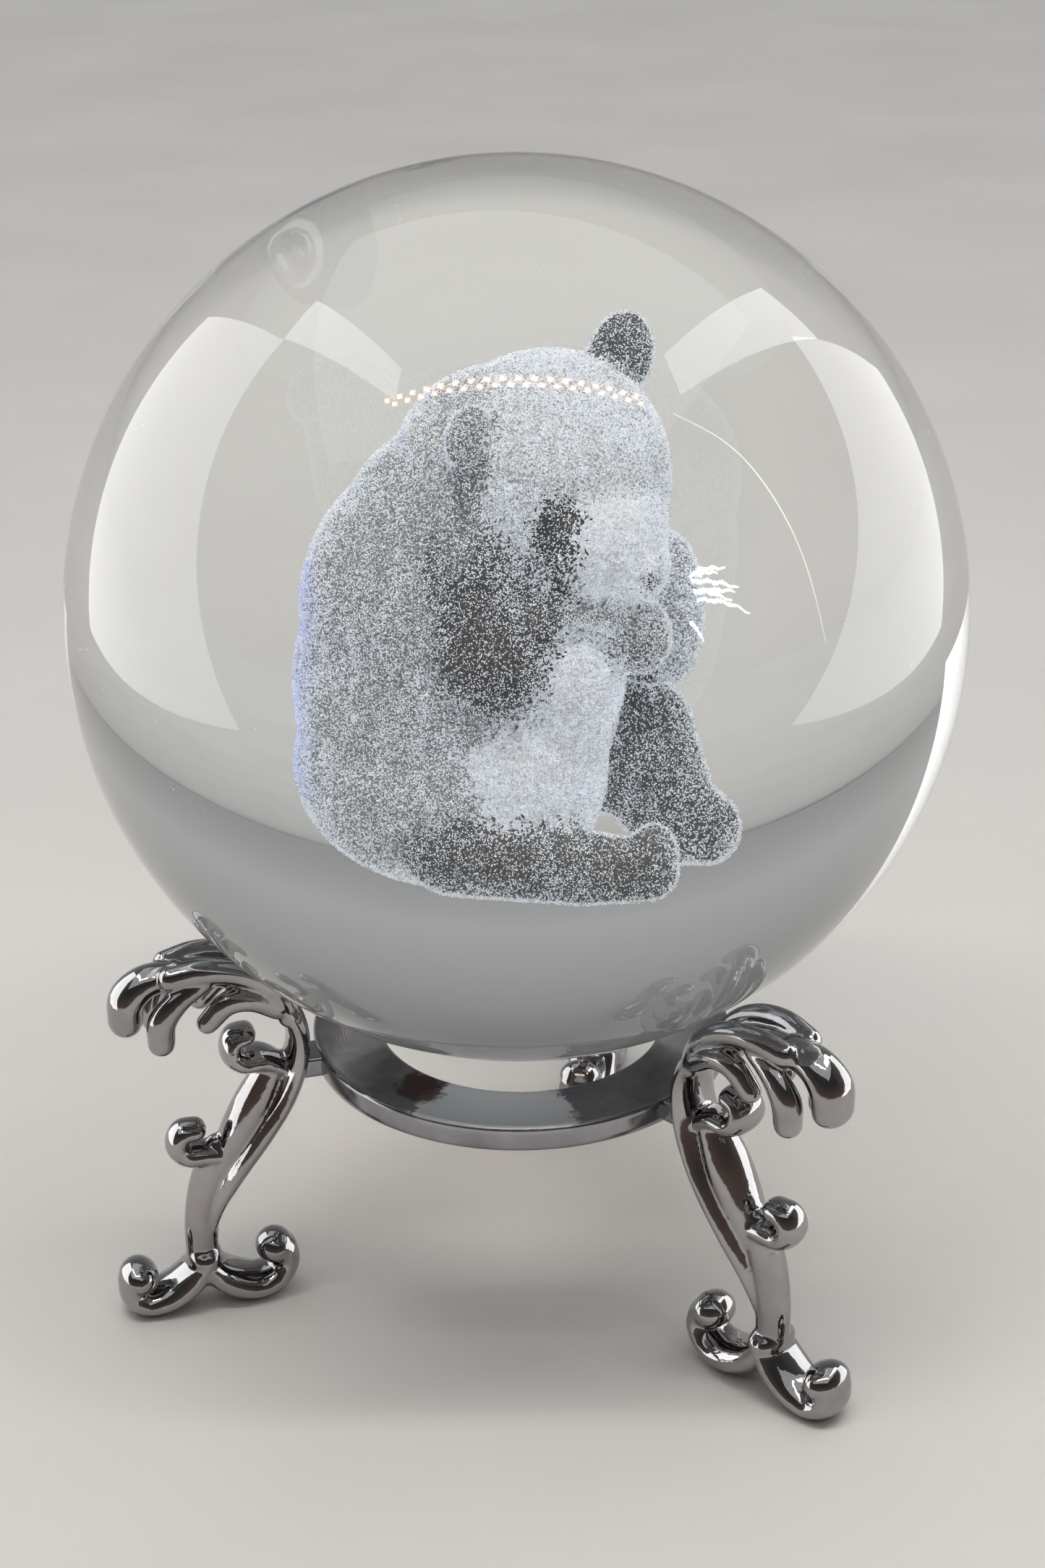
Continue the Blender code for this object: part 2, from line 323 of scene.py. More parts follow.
def seat_ring():
    """The turned ring with its three lugs, at the CAD ring's height."""
    low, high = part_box("seat_ring")
    vertices, faces = [], []
    n = len(RING_PROFILE)
    for i in range(RING_STEPS):
        turn = 2 * math.pi * i / RING_STEPS
        for radius, height in RING_PROFILE:
            vertices.append((radius * math.cos(turn), radius * math.sin(turn), low.z / MM + height))
        a, b = i * n, ((i + 1) % RING_STEPS) * n
        for j in range(n):
            k = (j + 1) % n
            faces.append((a + j, b + j, b + k, a + k))
    ring = new_object("seat_ring_turned", np.array(vertices) * MM, faces)
    mesh = bmesh.new()
    mesh.from_mesh(ring.data)
    add_lugs(mesh, (low.z + high.z) / 2)
    bmesh.ops.recalc_face_normals(mesh, faces=mesh.faces)
    mesh.to_mesh(ring.data)
    mesh.free()
    ring.data.polygons.foreach_set("use_smooth", [True] * len(ring.data.polygons))
    return ring


# ---------------------------------------------------------------- engraving: a seated animal eating leaves
# Places are millimetres right of, towards the camera from, and above the ball's centre.
# Ovals: piece, fur, centre, half sizes, turn about the upright, in degrees.
OVALS = [
    ("body", "back", (-3.9, 0.0, -9.2), (9.0, 9.3, 7.0), 0),
    ("body", "back", (-3.5, 0.0, -4.2), (9.6, 8.9, 10.4), 0),
    ("body", "back", (-3.5, 0.0, 0.6), (9.3, 8.6, 9.4), 0),
    ("body", "back", (-2.6, 0.0, 4.6), (7.9, 7.4, 7.5), 0),
    ("body", "mane", (-1.0, 0.0, 9.0), (6.4, 6.3, 6.5), 0),
    ("body", "chest", (-1.2, 2.4, -8.2), (6.5, 7.0, 8.0), 0),
    ("body", "chest", (3.0, 4.4, -2.4), (3.5, 4.2, 4.6), 0),
    ("head", "white", (2.0, 0.2, 8.9), (7.4, 7.3, 7.6), 0),
    ("head", "face", (4.4, 2.8, 6.6), (4.9, 5.8, 4.8), 0),
    ("head", "face", (6.3, 4.6, 4.8), (3.2, 3.1, 2.8), 47),
    ("head", "paw", (-2.9, 5.0, 13.6), (1.1, 2.0, 2.2), 47),
    ("head", "ear", (6.3, -4.2, 14.6), (1.3, 2.5, 3.0), 47),
    ("arms", "paw", (7.4, 5.2, 0.4), (2.1, 1.9, 2.5), 20),
    ("arms", "mane", (9.1, 0.4, 0.4), (2.0, 2.4, 4.8), 0),
    ("legs", "black", (8.0, 6.6, -13.5), (1.6, 2.5, 2.3), 10),
    ("legs", "black", (10.2, -3.4, -14.0), (2.1, 2.4, 2.1), 0),
    ("legs", "paw", (11.0, -3.0, -13.6), (0.9, 1.3, 1.1), 0),
]
# Limbs: piece, fur, start, start radius, end, end radius.
LIMBS = [
    ("arms", "black", (-2.8, 5.4, 4.8), 3.5, (-1.6, 7.2, -0.4), 3.6),
    ("arms", "black", (-1.6, 7.4, 0.0), 3.1, (2.6, 7.2, 3.1), 1.1),
    ("arms", "mane", (2.6, 7.2, 3.1), 1.1, (6.4, 5.8, 2.0), 1.2),
    ("arms", "black", (4.0, -5.0, 1.6), 3.0, (7.8, -0.4, -2.6), 2.1),
    ("legs", "black", (-3.6, 5.8, -12.0), 3.8, (3.6, 7.4, -13.7), 2.4),
    ("legs", "black", (3.6, 7.4, -13.7), 2.4, (7.8, 6.8, -14.2), 1.9),
    ("legs", "black", (2.2, -4.4, -10.2), 3.8, (6.2, -3.8, -8.9), 3.8),
    ("legs", "black", (6.2, -3.8, -8.9), 3.8, (8.7, -3.6, -13.6), 2.6),
]
# Marks on the fur: fur, centre, half sizes, turn. The two shade marks are painted shade along the near ear
# and the fold of the neck.
MARKS = [
    ("shade", (-2.9, 5.4, 12.2), (1.0, 3.2, 3.4), 20), ("shade", (-3.4, 7.0, 7.4), (0.7, 2.4, 2.6), 20),
    ("patch", (2.7, 7.0, 7.2), (1.5, 1.9, 3.0), 47), ("patch", (6.9, 3.2, 8.4), (0.9, 0.7, 1.5), 47),
    ("patch", (8.5, 6.5, 4.2), (0.7, 0.8, 0.4), 47),
]
FIGURE_VOXEL_MM = 0.26
FIGURE_SMOOTHING = 12
FIGURE_FLOOR_MM = -16.1
CORE_INSET_MM = 0.14
DOT_MM = 0.062
WHITE, VIOLET, GREY, LEAF = range(4)
# Dots for each square millimetre of each kind of fur.
DOTS = {
    "white": 110, "face": 125, "chest": 125, "mane": 88, "back": 84, "black": 62, "ear": 66, "paw": 90,
    "patch": 52, "shade": 70}
FURS = list(DOTS)
DOTS_IN_A_PIECE = 46000
# Dots start this deep under the skin, and spread outwards from there by this much.
DOT_DEPTH_MM = 0.10
DOT_SPAN_MM = 0.18
WHITE_SHARE = 0.75
# Painted rim light: some dots turn violet on the far left edge, where the skin faces left by more than this,
# of 1.
PAINTED_RIM_LIGHT_SLANT = 0.88
PAINTED_RIM_LIGHT_RISE = 4.0
# How far one fur strays into the next, and how far past its own oval a mark still shows.
FUR_FRAY_MM = 0.42
MARK_EDGE_MM = 0.25
TUFT_MM = (0.6, 0.6, 1.5)
CLUMP_MM = (3.4, 3.4, 4.6)
NOISE_CELLS = 24
OVAL_RINGS = 24
OVAL_SIDES = 36
LIMB_SIDES = 24
LIMB_STEPS = 8


def turned(p, degrees):
    """The points turned about the upright."""
    a = math.radians(degrees)
    return np.stack([
        p[:, 0] * math.cos(a) + p[:, 1] * math.sin(a),
        -p[:, 0] * math.sin(a) + p[:, 1] * math.cos(a), p[:, 2]], 1)


def oval_distance(p, centre, half, degrees):
    """About how far each point is outside a turned oval; less than 0 inside it."""
    q = turned(p - np.array(centre), degrees)
    half = np.array(half)
    near = np.linalg.norm(q / half, axis=1)
    steep = np.linalg.norm(q / half**2, axis=1)
    return near * (near - 1) / np.maximum(steep, 1e-9)


def limb_distance(p, start, start_radius, end, end_radius):
    """How far each point is outside a round limb that tapers from start to end."""
    start, end = np.array(start), np.array(end)
    along = end - start
    t = np.clip(((p - start) @ along) / (along @ along), 0, 1)
    radius = start_radius + (end_radius - start_radius) * t
    return np.linalg.norm(p - start - t[:, None] * along, axis=1) - radius


def lattice_noise(p, cell_mm, rng):
    """Smooth noise between 0 and 1, with its own cell size along each axis."""
    table = rng.random((NOISE_CELLS, NOISE_CELLS, NOISE_CELLS))
    q = p / np.array(cell_mm)
    cell = np.floor(q).astype(int)
    w = q - cell
    w = w * w * (3 - 2 * w)
    out = np.zeros(len(p))
    for corner in itertools.product((0, 1), repeat=3):
        share = np.where(corner, w, 1 - w)
        x, y, z = ((cell + corner) % NOISE_CELLS).T
        out += share[:, 0] * share[:, 1] * share[:, 2] * table[x, y, z]
    return out


def limb_mesh(start, start_radius, end, end_radius):
    """A closed round limb between two points."""
    start, end = np.array(start), np.array(end)
    along = (end - start) / np.linalg.norm(end - start)
    side = np.cross(along, (0.0, 0.0, 1.0))
    side /= np.linalg.norm(side)
    other = np.cross(side, along)
    rows = dome(start, -along, start_radius, LIMB_STEPS)[::-1]
    for k in range(LIMB_STEPS + 1):
        share = k / LIMB_STEPS
        rows.append((start + (end - start) * share, start_radius + (end_radius - start_radius) * share))
    rows += dome(end, along, end_radius, LIMB_STEPS)
    turns = [2 * math.pi * j / LIMB_SIDES for j in range(LIMB_SIDES)]
    vertices = [
        place + (side * math.cos(turn) + other * math.sin(turn)) * radius
        for place, radius in rows for turn in turns]
    return np.array(vertices), loft_faces(len(rows), LIMB_SIDES)


def figure_skin():
    """The figure grown together: its vertices and outward normals, and triangles, in millimetres."""
    parts = []
    for _, _, centre, half, degrees in OVALS:
        v, f = oval((0, 0, 0), half, OVAL_RINGS, OVAL_SIDES)
        parts.append((turned(v, -degrees) + np.array(centre), f))
    parts += [limb_mesh(a, ra, b, rb) for _, _, a, ra, b, rb in LIMBS]
    skin = grown_together("figure_pattern", parts, FIGURE_VOXEL_MM, FIGURE_SMOOTHING)
    skin.modifiers.new("triangles", "TRIANGULATE")
    mesh = applied(skin).data
    v = np.zeros(len(mesh.vertices) * 3)
    mesh.vertices.foreach_get("co", v)
    v = v.reshape(-1, 3) / MM
    v[:, 2] = np.maximum(v[:, 2], FIGURE_FLOOR_MM)
    f = np.zeros(len(mesh.polygons) * 3, np.int32)
    mesh.polygons.foreach_get("vertices", f)
    normal = np.zeros(len(mesh.vertices) * 3)
    mesh.vertices.foreach_get("normal", normal)
    bpy.data.objects.remove(skin)
    return v, normal.reshape(-1, 3), f.reshape(-1, 3)


def to_world(points):
    """Studio millimetres to world metres. This frame is left-handed, so faces built in it are turned over."""
    return (points @ np.array([RIGHT, TOWARDS, UP])) * MM + np.array(BALL_CENTRE)


def furs_of(p):
    """The piece's name and the fur's place in FURS for each point of the skin."""
    shapes = [oval_distance(p, c, h, d) for _, _, c, h, d in OVALS]
    shapes += [limb_distance(p, a, ra, b, rb) for _, _, a, ra, b, rb in LIMBS]
    nearest = np.array(shapes).argmin(0)
    piece = np.array([row[0] for row in OVALS + LIMBS])[nearest]
    fur = np.array([FURS.index(row[1]) for row in OVALS + LIMBS])[nearest]
    for kind, centre, half, degrees in MARKS:
        fur[oval_distance(p, centre, half, degrees) < MARK_EDGE_MM] = FURS.index(kind)
    return piece, fur


# Leaf sprays: base, tip and how far the middle arches up, in millimetres.
LEAVES = [
    ((10.4, 2.0, 3.0), (12.1, 2.3, 3.3), 0.1), ((10.5, 2.0, 2.6), (13.4, 2.6, 2.4), 0.2),
    ((10.6, 2.0, 2.0), (13.0, 3.0, 1.7), 0.2), ((10.8, 2.0, 1.4), (14.0, 2.6, 0.8), 0.3),
    ((10.4, 2.4, 0.2), (11.2, 3.2, -0.7), 0.1),
    ((10.3, 1.4, 2.8), (12.4, 0.4, 2.8), 0.2), ((10.6, 1.6, 1.8), (13.0, 0.8, 1.5), 0.1),
]
LEAF_DOTS = 520
LEAF_THICK_MM = 0.05
LEAF_TIP_MM = 0.015
LEAF_FLATNESS = (0.4, 0.6, 1.0)
LEAF_RIPPLE_MM = 0.06
LEAF_RIPPLES = 19


def leaf_points(rng):
    """Dots strewn along every leaf, thinning out toward its tip."""
    points = []
    for start, end, arch in LEAVES:
        start, end = np.array(start), np.array(end)
        t = rng.random(LEAF_DOTS)
        width = LEAF_THICK_MM * np.sin(math.pi * np.clip(0.25 + 0.75 * t, 0, 1)) + LEAF_TIP_MM
        spread = rng.normal(size=(LEAF_DOTS, 3)) * width[:, None]
        line = start + (end - start) * t[:, None]
        line[:, 2] += arch * np.sin(math.pi * t) + LEAF_RIPPLE_MM * np.sin(t * LEAF_RIPPLES + arch * 40)
        points.append(line + spread * np.array(LEAF_FLATNESS))
    return np.vstack(points)


# Corners and faces of the smallest closed shape, which stands for one crack.
TETRA = np.array([(1, 1, 1), (1, -1, -1), (-1, 1, -1), (-1, -1, 1)], float) / math.sqrt(3)
TETRA_FACES = np.array([(0, 1, 2), (0, 3, 1), (0, 2, 3), (1, 3, 2)])


def triangle_mesh(name, vertices, faces, marks, materials):
    """An object made of triangles; marks says which material each of them takes."""
    mesh = bpy.data.meshes.new(name)
    mesh.vertices.add(len(vertices))
    mesh.vertices.foreach_set("co", vertices.astype(np.float32).ravel())
    mesh.loops.add(len(faces) * 3)
    mesh.loops.foreach_set("vertex_index", faces.astype(np.int32).ravel())
    mesh.polygons.add(len(faces))
    mesh.polygons.foreach_set("loop_start", np.arange(0, len(faces) * 3, 3, dtype=np.int32))
    for m in materials:
        mesh.materials.append(m)
    mesh.polygons.foreach_set("material_index", marks.astype(np.int32))
    mesh.update(calc_edges=True)
    obj = bpy.data.objects.new(name, mesh)
    bpy.context.scene.collection.objects.link(obj)
    return obj


def dot_cloud(name, points, sizes, tones, materials, rng):
    """One tiny four-sided crack for each point, turned at random."""
    q = rng.normal(size=(len(points), 4))
    q /= np.linalg.norm(q, axis=1)[:, None]
    w, x, y, z = q.T
    turn = np.stack([
        np.stack([1 - 2 * (y * y + z * z), 2 * (x * y - z * w), 2 * (x * z + y * w)], 1),
        np.stack([2 * (x * y + z * w), 1 - 2 * (x * x + z * z), 2 * (y * z - x * w)], 1),
        np.stack([2 * (x * z - y * w), 2 * (y * z + x * w), 1 - 2 * (x * x + y * y)], 1)], 1)
    shape = np.einsum("nij,kj->nki", turn, TETRA) * sizes[:, None, None]
    vertices = (to_world(points)[:, None, :] + shape * MM).reshape(-1, 3)
    faces = (np.arange(len(points))[:, None, None] * 4 + TETRA_FACES[None]).reshape(-1, 3)
    return triangle_mesh(name, vertices, faces, np.repeat(tones, 4), materials)


def hazy_core(vertices, normals, faces, fur, core_materials):
    """The figure's inside, just under the dots, coloured by its fur."""
    core = triangle_mesh(
        "engraved_core", to_world(vertices - normals * CORE_INSET_MM), faces[:, ::-1], fur,
        [core_materials[kind] for kind in FURS])
    core.data.polygons.foreach_set("use_smooth", [True] * len(core.data.polygons))
    return core


def engraving(dot_materials, core_materials):
    """The laser-cut figure: a hazy core under a skin of dots, dense on white fur and thin on black."""
    rng = np.random.default_rng(SEED)
    vertices, normals, faces = figure_skin()
    middle = vertices[faces].mean(1)
    piece, fur = furs_of(middle + rng.normal(size=middle.shape) * FUR_FRAY_MM)
    made = [hazy_core(vertices, normals, faces, fur, core_materials)]

    # How many dots each triangle gets: by its fur, in tufts and broader clumps.
    a, b, c = vertices[faces[:, 0]], vertices[faces[:, 1]], vertices[faces[:, 2]]
    area = np.linalg.norm(np.cross(b - a, c - a), axis=1) / 2
    tuft = lattice_noise(middle, TUFT_MM, rng)
    clump = lattice_noise(middle, CLUMP_MM, rng)
    wanted = area * np.array(list(DOTS.values()))[fur] * (0.45 + 1.1 * tuft) * (0.6 + 0.8 * clump)
    counts = rng.poisson(wanted)

    # Where they lie, how large they are and which tone they take.
    pick = np.repeat(np.arange(len(faces)), counts)
    u, v = rng.random(len(pick)), rng.random(len(pick))
    u, v = np.where(u + v > 1, 1 - u, u), np.where(u + v > 1, 1 - v, v)
    p = a[pick] + (b - a)[pick] * u[:, None] + (c - a)[pick] * v[:, None]
    normal = normals[faces].mean(1)[pick]
    p = p + normal * (rng.random(len(p)) * DOT_SPAN_MM - DOT_DEPTH_MM)[:, None]
    size = DOT_MM * (0.65 + 0.6 * rng.random(len(p)))
    tone = np.where(rng.random(len(p)) < WHITE_SHARE, WHITE, GREY)
    # Painted rim light: violet dots where the skin faces left.
    tone = np.where(rng.random(len(p)) < (-normal[:, 0] - PAINTED_RIM_LIGHT_SLANT) * PAINTED_RIM_LIGHT_RISE, VIOLET, tone)

    for name in ("head", "body", "arms", "legs"):
        here = np.flatnonzero(piece[pick] == name)
        here = here[np.argsort(p[here, 2], kind="stable")]
        layers = math.ceil(len(here) / DOTS_IN_A_PIECE)
        for k, layer in enumerate(np.array_split(here, layers)):
            label = f"engraved_{name}_{k + 1}" if layers > 1 else "engraved_" + name
            made.append(dot_cloud(label, p[layer], size[layer], tone[layer], dot_materials, rng))
    leaves = leaf_points(rng)
    sizes, tones = np.full(len(leaves), DOT_MM * 0.9), np.full(len(leaves), LEAF)
    made.append(dot_cloud("engraved_leaves", leaves, sizes, tones, dot_materials, rng))
    return made


# ---------------------------------------------------------------- materials
def material(name):
    """A new material with its nodes, links, shader and output."""
    m = bpy.data.materials.new(name)
    m.use_nodes = True
    nodes = m.node_tree.nodes
    nodes.clear()
    out = nodes.new("ShaderNodeOutputMaterial")
    shader = nodes.new("ShaderNodeBsdfPrincipled")
    m.node_tree.links.new(shader.outputs[0], out.inputs[0])
    return m, nodes, m.node_tree.links, shader, out


def noise_node(nodes, links, scale, detail, rough):
    """Noise that is fixed to the object; the scale is in cells to the metre."""
    where = nodes.new("ShaderNodeTexCoord")
    n = nodes.new("ShaderNodeTexNoise")
    n.inputs["Scale"].default_value = scale
    n.inputs["Detail"].default_value = detail
    n.inputs["Roughness"].default_value = rough
    links.new(where.outputs["Object"], n.inputs["Vector"])
    return n


def ramp_node(nodes, links, source, stops):
    """A colour for each value of the source, from stops of place and colour."""
    r = nodes.new("ShaderNodeValToRGB")
    while len(r.color_ramp.elements) > 1:
        r.color_ramp.elements.remove(r.color_ramp.elements[-1])
    r.color_ramp.elements[0].position = stops[0][0]
    r.color_ramp.elements[0].color = (*stops[0][1], 1)
    for at, colour in stops[1:]:
        r.color_ramp.elements.new(at).color = (*colour, 1)
    links.new(source, r.inputs[0])
    return r


def map_range(nodes, links, source, low, high, start=0.0, end=1.0):
    """Low where the source is at start, high where it is at end, and straight between."""
    m = nodes.new("ShaderNodeMapRange")
    m.inputs["From Min"].default_value = start
    m.inputs["From Max"].default_value = end
    m.inputs["To Min"].default_value = low
    m.inputs["To Max"].default_value = high
    links.new(source, m.inputs["Value"])
    return m


def mixed(nodes, links, kind, share, below, above):
    """From below to above as the share goes from 0 to 1; above may be a constant."""
    mix = nodes.new("ShaderNodeMix")
    mix.data_type = kind
    links.new(share, mix.inputs["Factor"])
    links.new(below, mix.inputs["A"])
    if isinstance(above, bpy.types.NodeSocket):
        links.new(above, mix.inputs["B"])
    else:
        mix.inputs["B"].default_value = above
    return mix.outputs["Result"]


def bump_node(nodes, links, source, strength, distance, under=None):
    """Bump from the source, on top of an earlier bump if there is one."""
    b = nodes.new("ShaderNodeBump")
    b.inputs["Strength"].default_value = strength
    b.inputs["Distance"].default_value = distance
    links.new(source, b.inputs["Height"])
    if under is not None:
        links.new(under.outputs[0], b.inputs["Normal"])
    return b


def chrome_material():
    """Dark chrome plate over a hand-finished casting: soft ripples, a few pits, faint brown tarnish."""
    m, nodes, links, shader, _ = material("dark_chrome_casting")
    shader.inputs["Metallic"].default_value = 1.0
    ripple = noise_node(nodes, links, 260.0, 3.0, 0.5)
    pits = noise_node(nodes, links, 2600.0, 2.0, 0.6)
    tarnish = noise_node(nodes, links, 120.0, 5.0, 0.6)
    tone = ramp_node(nodes, links, tarnish.outputs[0], [
        (0.32, (0.31, 0.302, 0.304)), (0.55, (0.40, 0.395, 0.398)), (0.75, (0.36, 0.312, 0.298))])
    links.new(tone.outputs[0], shader.inputs["Base Color"])
    rough = map_range(nodes, links, pits.outputs[0], 0.02, 0.07)
    links.new(rough.outputs[0], shader.inputs["Roughness"])
    first = bump_node(nodes, links, ripple.outputs[0], 0.35, 0.0002)
    second = bump_node(nodes, links, pits.outputs[0], 0.12, 0.00003, first)
    links.new(second.outputs[0], shader.inputs["Normal"])
    return m


# A painted highlight at the front of the ring's top, pale and rougher, for the lamp light that the ball
# focuses there; and a dark brown spot left of it: right, towards, radius.
PAINTED_HIGHLIGHT_SPOT = (-2.6, 17.6, 7.2)
DARK_BROWN_SPOT = (-9.2, 12.6, 2.4)
SPOT_EDGE_MM = 0.3
RAGGED_MM = 2.2


def spot_mask(nodes, links, where, right, towards, radius_mm):
    """1 inside a ragged round spot on the ring's top and 0 outside it."""
    middle = studio(right, towards, 0)
    middle.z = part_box("seat_ring")[1].z
    offset = nodes.new("ShaderNodeVectorMath")
    offset.operation = "DISTANCE"
    offset.inputs[1].default_value = middle
    links.new(where.outputs["Object"], offset.inputs[0])
    ragged = noise_node(nodes, links, 700.0, 5.0, 0.65)
    fray = map_range(nodes, links, ragged.outputs[0], -RAGGED_MM * MM, RAGGED_MM * MM)
    total = nodes.new("ShaderNodeMath")
    total.operation = "ADD"
    links.new(offset.outputs["Value"], total.inputs[0])
    links.new(fray.outputs[0], total.inputs[1])
    outer, inner = (radius_mm + SPOT_EDGE_MM) * MM, (radius_mm - SPOT_EDGE_MM) * MM
    inside = map_range(nodes, links, total.outputs[0], 0.0, 1.0, outer, inner)
    geometry = nodes.new("ShaderNodeNewGeometry")
    facing_up = nodes.new("ShaderNodeVectorMath")
    facing_up.operation = "DOT_PRODUCT"
    facing_up.inputs[1].default_value = UP
    links.new(geometry.outputs["Normal"], facing_up.inputs[0])
    mask = nodes.new("ShaderNodeMath")
    mask.operation = "MULTIPLY"
    mask.use_clamp = True
    links.new(inside.outputs[0], mask.inputs[0])
    links.new(facing_up.outputs["Value"], mask.inputs[1])
    return mask.outputs[0]


def ring_material():
    """Polished ring with fine turning marks; on its top a painted highlight, pale and rougher, where the ball
    focuses lamp light, and a dark brown spot.
    """
    m, nodes, links, shader, _ = material("turned_chrome_ring")
    shader.inputs["Metallic"].default_value = 1.0
    where = nodes.new("ShaderNodeTexCoord")
    wave = nodes.new("ShaderNodeTexWave")
    wave.wave_type = "RINGS"
    wave.rings_direction = "Z"
    wave.inputs["Scale"].default_value = 900.0
    wave.inputs["Distortion"].default_value = 1.5
    wave.inputs["Detail"].default_value = 3.0
    links.new(where.outputs["Object"], wave.inputs["Vector"])
    cloud = noise_node(nodes, links, 180.0, 5.0, 0.6)
    speck = noise_node(nodes, links, 1800.0, 3.0, 0.6)
    tone = ramp_node(nodes, links, cloud.outputs[0], [
        (0.3, (0.22, 0.22, 0.235)), (0.6, (0.34, 0.34, 0.355)), (0.8, (0.26, 0.215, 0.205))])
    # Painted highlight: the top turns pale and rougher in the spot where the ball focuses lamp light.
    painted_highlight = spot_mask(nodes, links, where, *PAINTED_HIGHLIGHT_SPOT)
    dark_brown_spot = spot_mask(nodes, links, where, *DARK_BROWN_SPOT)
    plated = mixed(nodes, links, "RGBA", painted_highlight, tone.outputs[0], (0.70, 0.72, 0.74, 1))
    plated = mixed(nodes, links, "RGBA", dark_brown_spot, plated, (0.13, 0.085, 0.08, 1))
    links.new(plated, shader.inputs["Base Color"])
    rough = map_range(nodes, links, speck.outputs[0], 0.08, 0.22)
    links.new(mixed(nodes, links, "FLOAT", painted_highlight, rough.outputs[0], 0.34), shader.inputs["Roughness"])
    first = bump_node(nodes, links, wave.outputs[1], 0.25, 0.00002)
    second = bump_node(nodes, links, speck.outputs[0], 0.2, 0.00004, first)
    links.new(second.outputs[0], shader.inputs["Normal"])
    return m


def glass_material():
    """Clear crystal with a breath of grey-green; lamps pass through it to light the engraving."""
    m, nodes, links, shader, out = material("clear_crystal")
    shader.inputs["Base Color"].default_value = (0.955, 0.975, 0.965, 1)
    shader.inputs["Transmission Weight"].default_value = 1.0
    shader.inputs["IOR"].default_value = 1.52
    shader.inputs["Roughness"].default_value = 0.0
    clear = nodes.new("ShaderNodeBsdfTransparent")
    slant = nodes.new("ShaderNodeLayerWeight")
    slant.inputs["Blend"].default_value = 0.5
    shade = ramp_node(nodes, links, slant.outputs["Facing"], [
        (0.0, (0.70, 0.72, 0.71)), (0.25, (0.46, 0.48, 0.47)), (0.7, (0.18, 0.19, 0.185))])
    links.new(shade.outputs[0], clear.inputs["Color"])
    path = nodes.new("ShaderNodeLightPath")
    mix = nodes.new("ShaderNodeMixShader")
    links.new(path.outputs["Is Shadow Ray"], mix.inputs[0])
    links.new(shader.outputs[0], mix.inputs[1])
    links.new(clear.outputs[0], mix.inputs[2])
    links.new(mix.outputs[0], out.inputs[0])
    return m


def dot_material(name, colour, glow):
    """A bright crack, or lint on the glass: matt, with a painted glow that makes it a little brighter than
    the light on it.
    """
    m, _, _, shader, _ = material(name)
    shader.inputs["Base Color"].default_value = (*colour, 1)
    shader.inputs["Roughness"].default_value = 0.5
    shader.inputs["Emission Color"].default_value = (*colour, 1)
    shader.inputs["Emission Strength"].default_value = glow
    return m


# Painted glow: the haze gives off a little light of its own.
HAZE_GLOW = 0.08
DARK_TINT = (0.94, 1.0, 1.09)
LIGHT_TINT = (0.95, 0.98, 1.03)
# Haze for each fur: dark tone, light tone, share of bright specks. The dark tones are painted shade: they
# darken the black fur, where the real glass is clear.
HAZE = {
    "white": (0.38, 0.80, 0.6), "face": (0.64, 0.92, 0.8), "chest": (0.60, 0.92, 0.75),
    "mane": (0.27, 0.72, 0.45), "back": (0.26, 0.64, 0.35), "black": (0.09, 0.46, 0.08),
    "ear": (0.08, 0.48, 0.12), "paw": (0.16, 0.66, 0.4), "patch": (0.08, 0.44, 0.04),
    "shade": (0.18, 0.60, 0.25),
}


def core_material(name, dark, light, bright_share):
    """Haze between the cracks: painted dark shade full of bright specks, with a faint painted glow in the
    same colours.
    """
    m, nodes, links, shader, _ = material(name)
    speck = noise_node(nodes, links, 5200.0, 3.0, 0.7)
    tone = ramp_node(nodes, links, speck.outputs[0], [
        (0.62 - bright_share * 0.3, tuple(dark * tint for tint in DARK_TINT)),
        (0.70 - bright_share * 0.3, tuple(light * tint for tint in LIGHT_TINT))])
    links.new(tone.outputs[0], shader.inputs["Base Color"])
    links.new(tone.outputs[0], shader.inputs["Emission Color"])
    shader.inputs["Emission Strength"].default_value = HAZE_GLOW
    shader.inputs["Roughness"].default_value = 0.9
    return m


def floor_material():
    """Plain pale card, slightly mottled and with a fine tooth."""
    m, nodes, links, shader, _ = material("pale_card")
    fibre = noise_node(nodes, links, 900.0, 6.0, 0.7)
    mottle = noise_node(nodes, links, 14.0, 4.0, 0.5)
    tone = ramp_node(nodes, links, mottle.outputs[0], [
        (0.3, (0.60, 0.595, 0.585)), (0.7, (0.645, 0.64, 0.63))])
    links.new(tone.outputs[0], shader.inputs["Base Color"])
    shader.inputs["Roughness"].default_value = 0.75
    shader.inputs["Specular IOR Level"].default_value = 0.0
    bump = bump_node(nodes, links, fibre.outputs[0], 0.25, 0.0003)
    links.new(bump.outputs[0], shader.inputs["Normal"])
    return m


# ---------------------------------------------------------------- build the pieces
leg_finish = chrome_material()
ring_finish = ring_material()
crystal = glass_material()
# Every dot tone has a painted glow, strongest on the leaves.
# In the order of WHITE, VIOLET, GREY and LEAF.
dot_tones = [
    dot_material("crack_white", (0.89, 0.93, 0.99), 0.36),
    # The violet dots are a painted rim light.
    dot_material("crack_violet_painted_rim_light", (0.56, 0.62, 1.0), 0.42),
    dot_material("crack_grey", (0.58, 0.62, 0.69), 0.18),
    dot_material("crack_leaf", (0.93, 0.96, 1.0), 0.75),
]
haze = {fur: core_material("haze_" + fur, *tones) for fur, tones in HAZE.items()}

pattern = cast_leg()
pattern.data.materials.append(leg_finish)
for node, azimuth in LEG_AZIMUTHS.items():
    leg = bpy.data.objects.new("cast_" + node, pattern.data.copy())
    bpy.context.scene.collection.objects.link(leg)
    leg.data.transform(Matrix.Rotation(math.radians(azimuth), 4, "Z"))
    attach(leg, "stand")
    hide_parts(node)
bpy.data.objects.remove(pattern)

